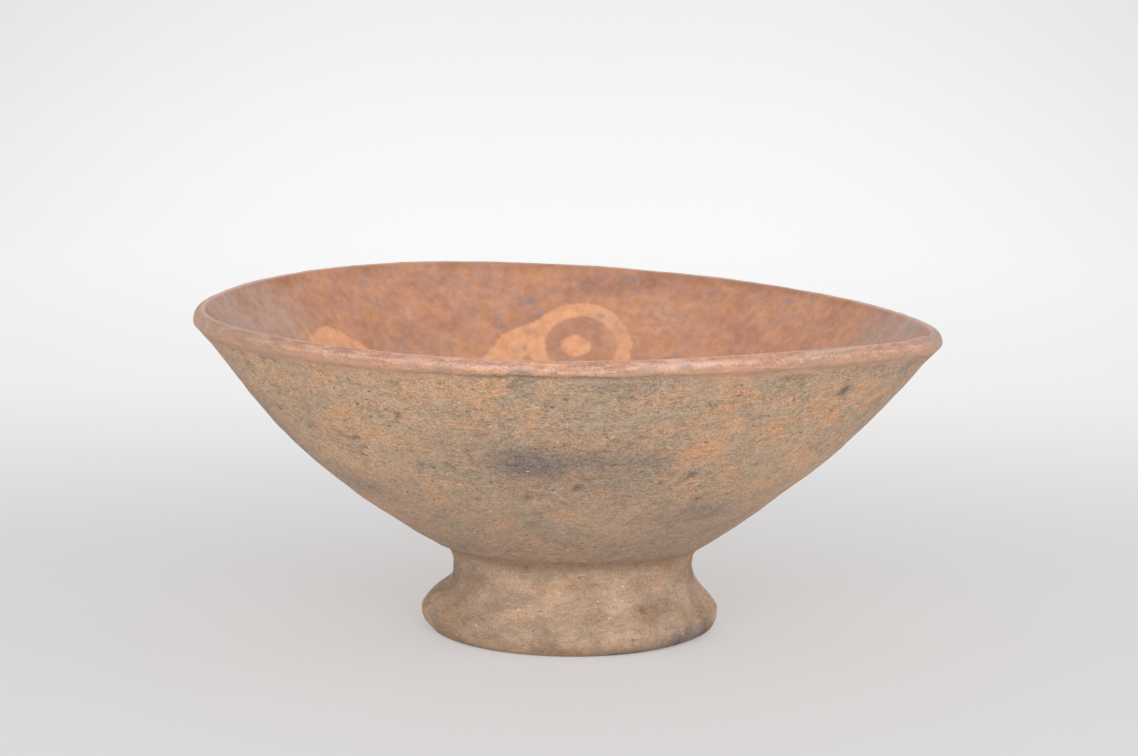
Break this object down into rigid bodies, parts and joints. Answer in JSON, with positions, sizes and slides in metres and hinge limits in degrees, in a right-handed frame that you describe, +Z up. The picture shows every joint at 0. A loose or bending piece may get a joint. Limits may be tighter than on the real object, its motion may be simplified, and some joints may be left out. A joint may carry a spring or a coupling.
{
  "type": "pottery bowl",
  "caption": "Wide open pottery bowl with a rounded lip on a flaring hollow ring foot, hand-built and slightly out of true, with slip-painted circles inside.",
  "frame": {"origin": "on the ground under the middle of the bowl's bounding box, about 1 mm from the middle of the ring foot", "axes": "+Z up through the foot and the bowl, -Y towards the pictured side, +X to the right seen from there"},
  "size_m": [0.2202, 0.2198, 0.0984],
  "materials": {
    "fired_clay": "unglazed low-fired earthenware, wiped outside and slipped red-brown inside and on the lip"
  },
  "bodies": {
    "root": {"pedestal_bowl": "fired_clay"}
  },
  "joints": []
}
